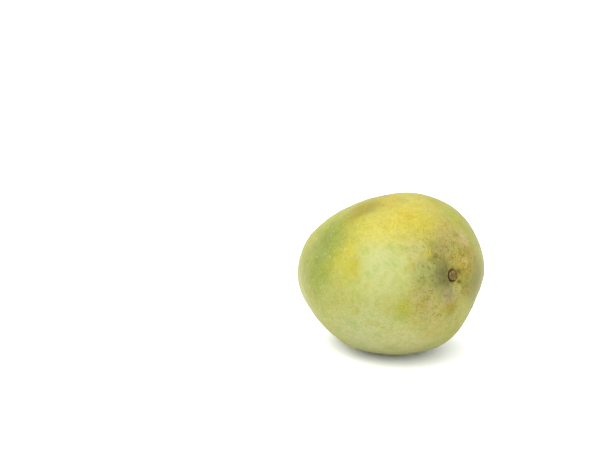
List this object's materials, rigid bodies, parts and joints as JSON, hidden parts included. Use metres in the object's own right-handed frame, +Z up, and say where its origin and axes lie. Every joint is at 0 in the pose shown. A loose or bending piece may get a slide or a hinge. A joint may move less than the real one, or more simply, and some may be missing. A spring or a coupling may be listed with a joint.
{
  "type": "mango",
  "caption": "Whole mango lying on its side: a plump egg-shaped fruit with waxy green and yellow skin, a shallow dip at the stem end and a short dry stem left in its pit.",
  "frame": {"origin": "on the surface the fruit rests on, below the middle of its bounding box", "axes": "+Z up; +X towards the stem end, which is tipped 11 degrees up from the horizontal; +Y across the fruit's width"},
  "size_m": [0.1046, 0.0954, 0.0852],
  "materials": {
    "skin": "waxy fruit skin, green and yellow, satin under a thin pale bloom, with fine pale dots",
    "dry_stem": "dry, cracked, matt brown"
  },
  "bodies": {
    "root": {"mango_fruit": "skin", "stem_stub": "dry_stem"}
  },
  "joints": []
}
